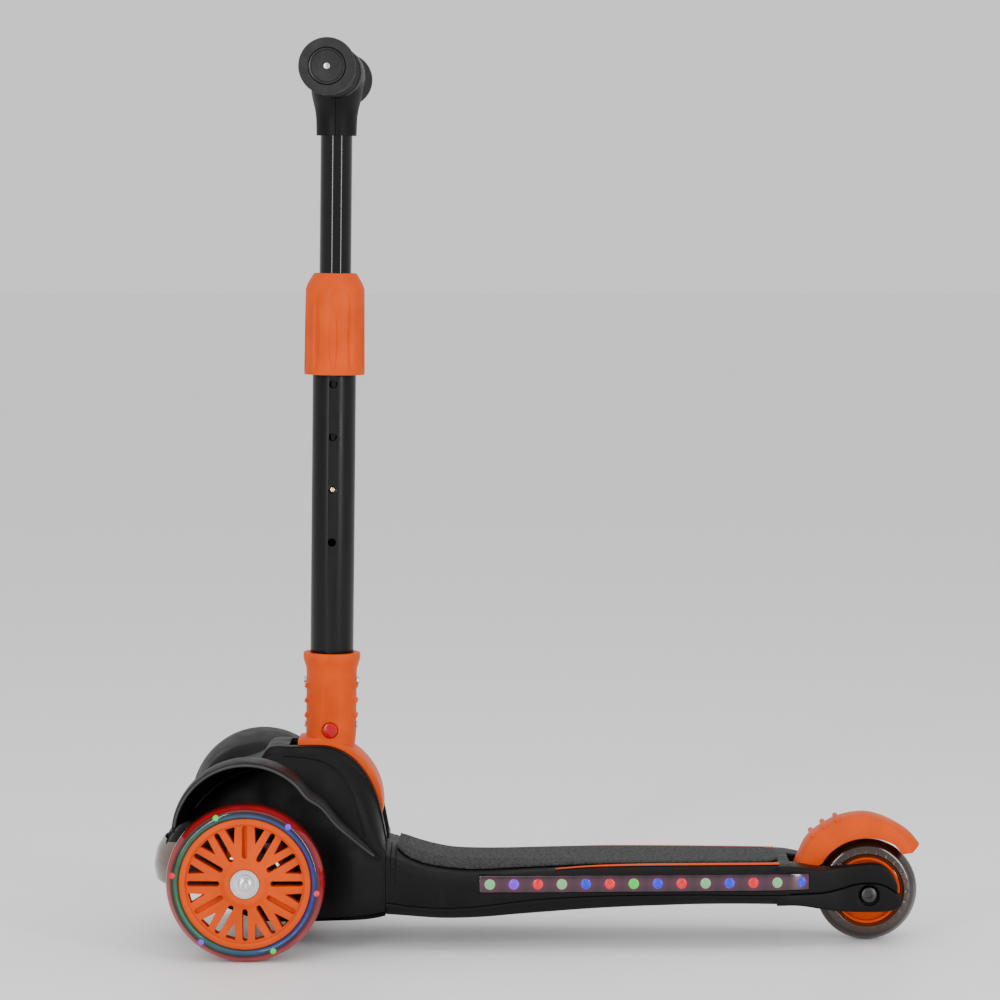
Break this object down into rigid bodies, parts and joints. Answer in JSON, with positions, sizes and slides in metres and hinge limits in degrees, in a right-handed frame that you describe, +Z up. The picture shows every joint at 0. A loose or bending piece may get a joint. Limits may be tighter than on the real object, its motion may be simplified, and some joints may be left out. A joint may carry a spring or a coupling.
{
  "type": "kick scooter",
  "caption": "Children's three-wheel lean-to-steer kick scooter with a folding, height-adjustable T-bar, spoked light-up wheels and lit deck sides.",
  "frame": {"origin": "on the floor, under the centre of the scooter's bounding box", "axes": "+X forward, +Y to the rider's left, +Z up"},
  "size_m": [0.6054, 0.3, 0.7032],
  "materials": {
    "orange_plastic": "satin moulded",
    "black_plastic": "fine-grain moulded",
    "cap_plastic": "gloss",
    "black_gloss": "high gloss",
    "black_satin": "satin",
    "black_rubber": "matte",
    "steel": "bright zinc",
    "aluminium": "satin",
    "tyre_clear": "translucent polyurethane",
    "tyre_smoke": "smoky translucent polyurethane",
    "lens": "smoked translucent",
    "red_plastic": "gloss",
    "led": "clear epoxy",
    "nylon": "natural nylon",
    "cell": "plastic sleeve"
  },
  "bodies": {
    "chassis": {"deck_shell": "black_plastic", "deck_pan": "black_plastic", "deck_mat": "black_rubber", "accent_stripe_left": "orange_plastic", "accent_stripe_right": "orange_plastic", "light_lens_left": "lens", "light_lens_right": "lens", "led_strip_left": "led", "led_strip_right": "led", "battery_pack": "cell", "battery_door": "black_plastic", "front_hull": "black_plastic", "fender_left": "black_plastic", "fender_right": "black_plastic", "nose_lens": "lens", "strike_plate": "steel", "fold_pin": "steel", "truck_pivot_bolt": "steel", "rear_axle_bolt": "steel", "rear_axle_nut": "steel", "brake_pin": "steel", "brake_spring": "steel"},
    "front_truck": {"axle_beam": "aluminium", "truck_bush": "nylon", "front_axle_bolt_left": "steel", "front_axle_bolt_right": "steel"},
    "front_wheel_left": {"front_tyre_left": "tyre_clear", "front_hub_left": "orange_plastic", "front_bearings_left": "steel", "wheel_lights_left": "led"},
    "front_wheel_right": {"front_tyre_right": "tyre_clear", "front_hub_right": "orange_plastic", "front_bearings_right": "steel", "wheel_lights_right": "led"},
    "rear_wheel": {"rear_tyre": "tyre_smoke", "rear_hub": "orange_plastic", "rear_bearings": "steel"},
    "brake": {"brake_fender": "orange_plastic"},
    "stem": {"fold_knuckle": "orange_plastic", "stem_screw_front": "steel", "stem_screw_rear": "steel", "stem_rivet": "steel", "lower_tube": "black_satin", "collet": "nylon", "latch_spring": "steel"},
    "fold_button": {"fold_button": "red_plastic"},
    "latch": {"latch_plunger": "steel"},
    "clamp_collar": {"clamp_collar": "orange_plastic"},
    "upper_bar": {"upper_tube": "black_gloss", "tube_bush": "nylon", "snap_spring": "steel", "t_head_front": "black_plastic", "t_head_rear": "black_plastic", "handlebar_tube": "black_satin", "grip_left": "black_rubber", "grip_right": "black_rubber", "bar_end_cap_left": "cap_plastic", "bar_end_cap_right": "cap_plastic"},
    "snap_button": {"snap_button": "steel"},
    "light_switch": {"light_switch": "black_plastic"}
  },
  "joints": [
    {"name": "steer", "type": "hinge", "parent": "chassis", "child": "front_truck", "pos_m": [0.223, 0, 0.061], "axis": [0.5736, 0, 0.8192], "range_deg": [-10, 10], "stiffness_Nm_per_rad": 60},
    {"name": "spin_front_left", "type": "hinge", "parent": "front_truck", "child": "front_wheel_left", "pos_m": [0.223, 0.097, 0.061], "axis": [0, 1, 0], "continuous": true},
    {"name": "spin_front_right", "type": "hinge", "parent": "front_truck", "child": "front_wheel_right", "pos_m": [0.223, -0.097, 0.061], "axis": [0, 1, 0], "continuous": true},
    {"name": "spin_rear", "type": "hinge", "parent": "chassis", "child": "rear_wheel", "pos_m": [-0.261, 0, 0.04], "axis": [0, 1, 0], "continuous": true},
    {"name": "brake", "type": "hinge", "parent": "chassis", "child": "brake", "pos_m": [-0.21, 0, 0.052], "axis": [0, -1, 0], "range_deg": [0, 2.5], "stiffness_Nm_per_rad": 2, "springref_deg": -11.46},
    {"name": "fold", "type": "hinge", "parent": "chassis", "child": "stem", "pos_m": [0.1747, 0, 0.1076], "axis": [0, -1, 0], "range_deg": [0, 84]},
    {"name": "fold_button", "type": "slide", "parent": "stem", "child": "fold_button", "axis": [0, -1, 0], "range_m": [0, 0.004], "stiffness_N_per_m": 800, "springref_m": -0.004},
    {"name": "latch", "type": "slide", "parent": "stem", "child": "latch", "axis": [-0.0122, 0, 0.9999], "range_m": [0, 0.004], "deforming": ["latch_spring"]},
    {"name": "clamp_twist", "type": "hinge", "parent": "stem", "child": "clamp_collar", "pos_m": [0.15807, 0, 0.48643], "axis": [-0.0122, 0, 0.9999], "range_deg": [0, 120]},
    {"name": "height", "type": "slide", "parent": "stem", "child": "upper_bar", "axis": [-0.0122, 0, 0.9999], "range_m": [-0.0413, 0.0826]},
    {"name": "snap", "type": "slide", "parent": "upper_bar", "child": "snap_button", "axis": [0, -1, 0], "range_m": [0, 0.0035], "stiffness_N_per_m": 600, "springref_m": -0.003, "deforming": ["snap_spring"]},
    {"name": "light_switch", "type": "slide", "parent": "chassis", "child": "light_switch", "axis": [0, 0, 1], "range_m": [0, 0.002], "stiffness_N_per_m": 800, "springref_m": -0.001}
  ],
  "couplings": [
    {"joint": "latch", "follows": "fold_button", "ratio": 1}
  ]
}
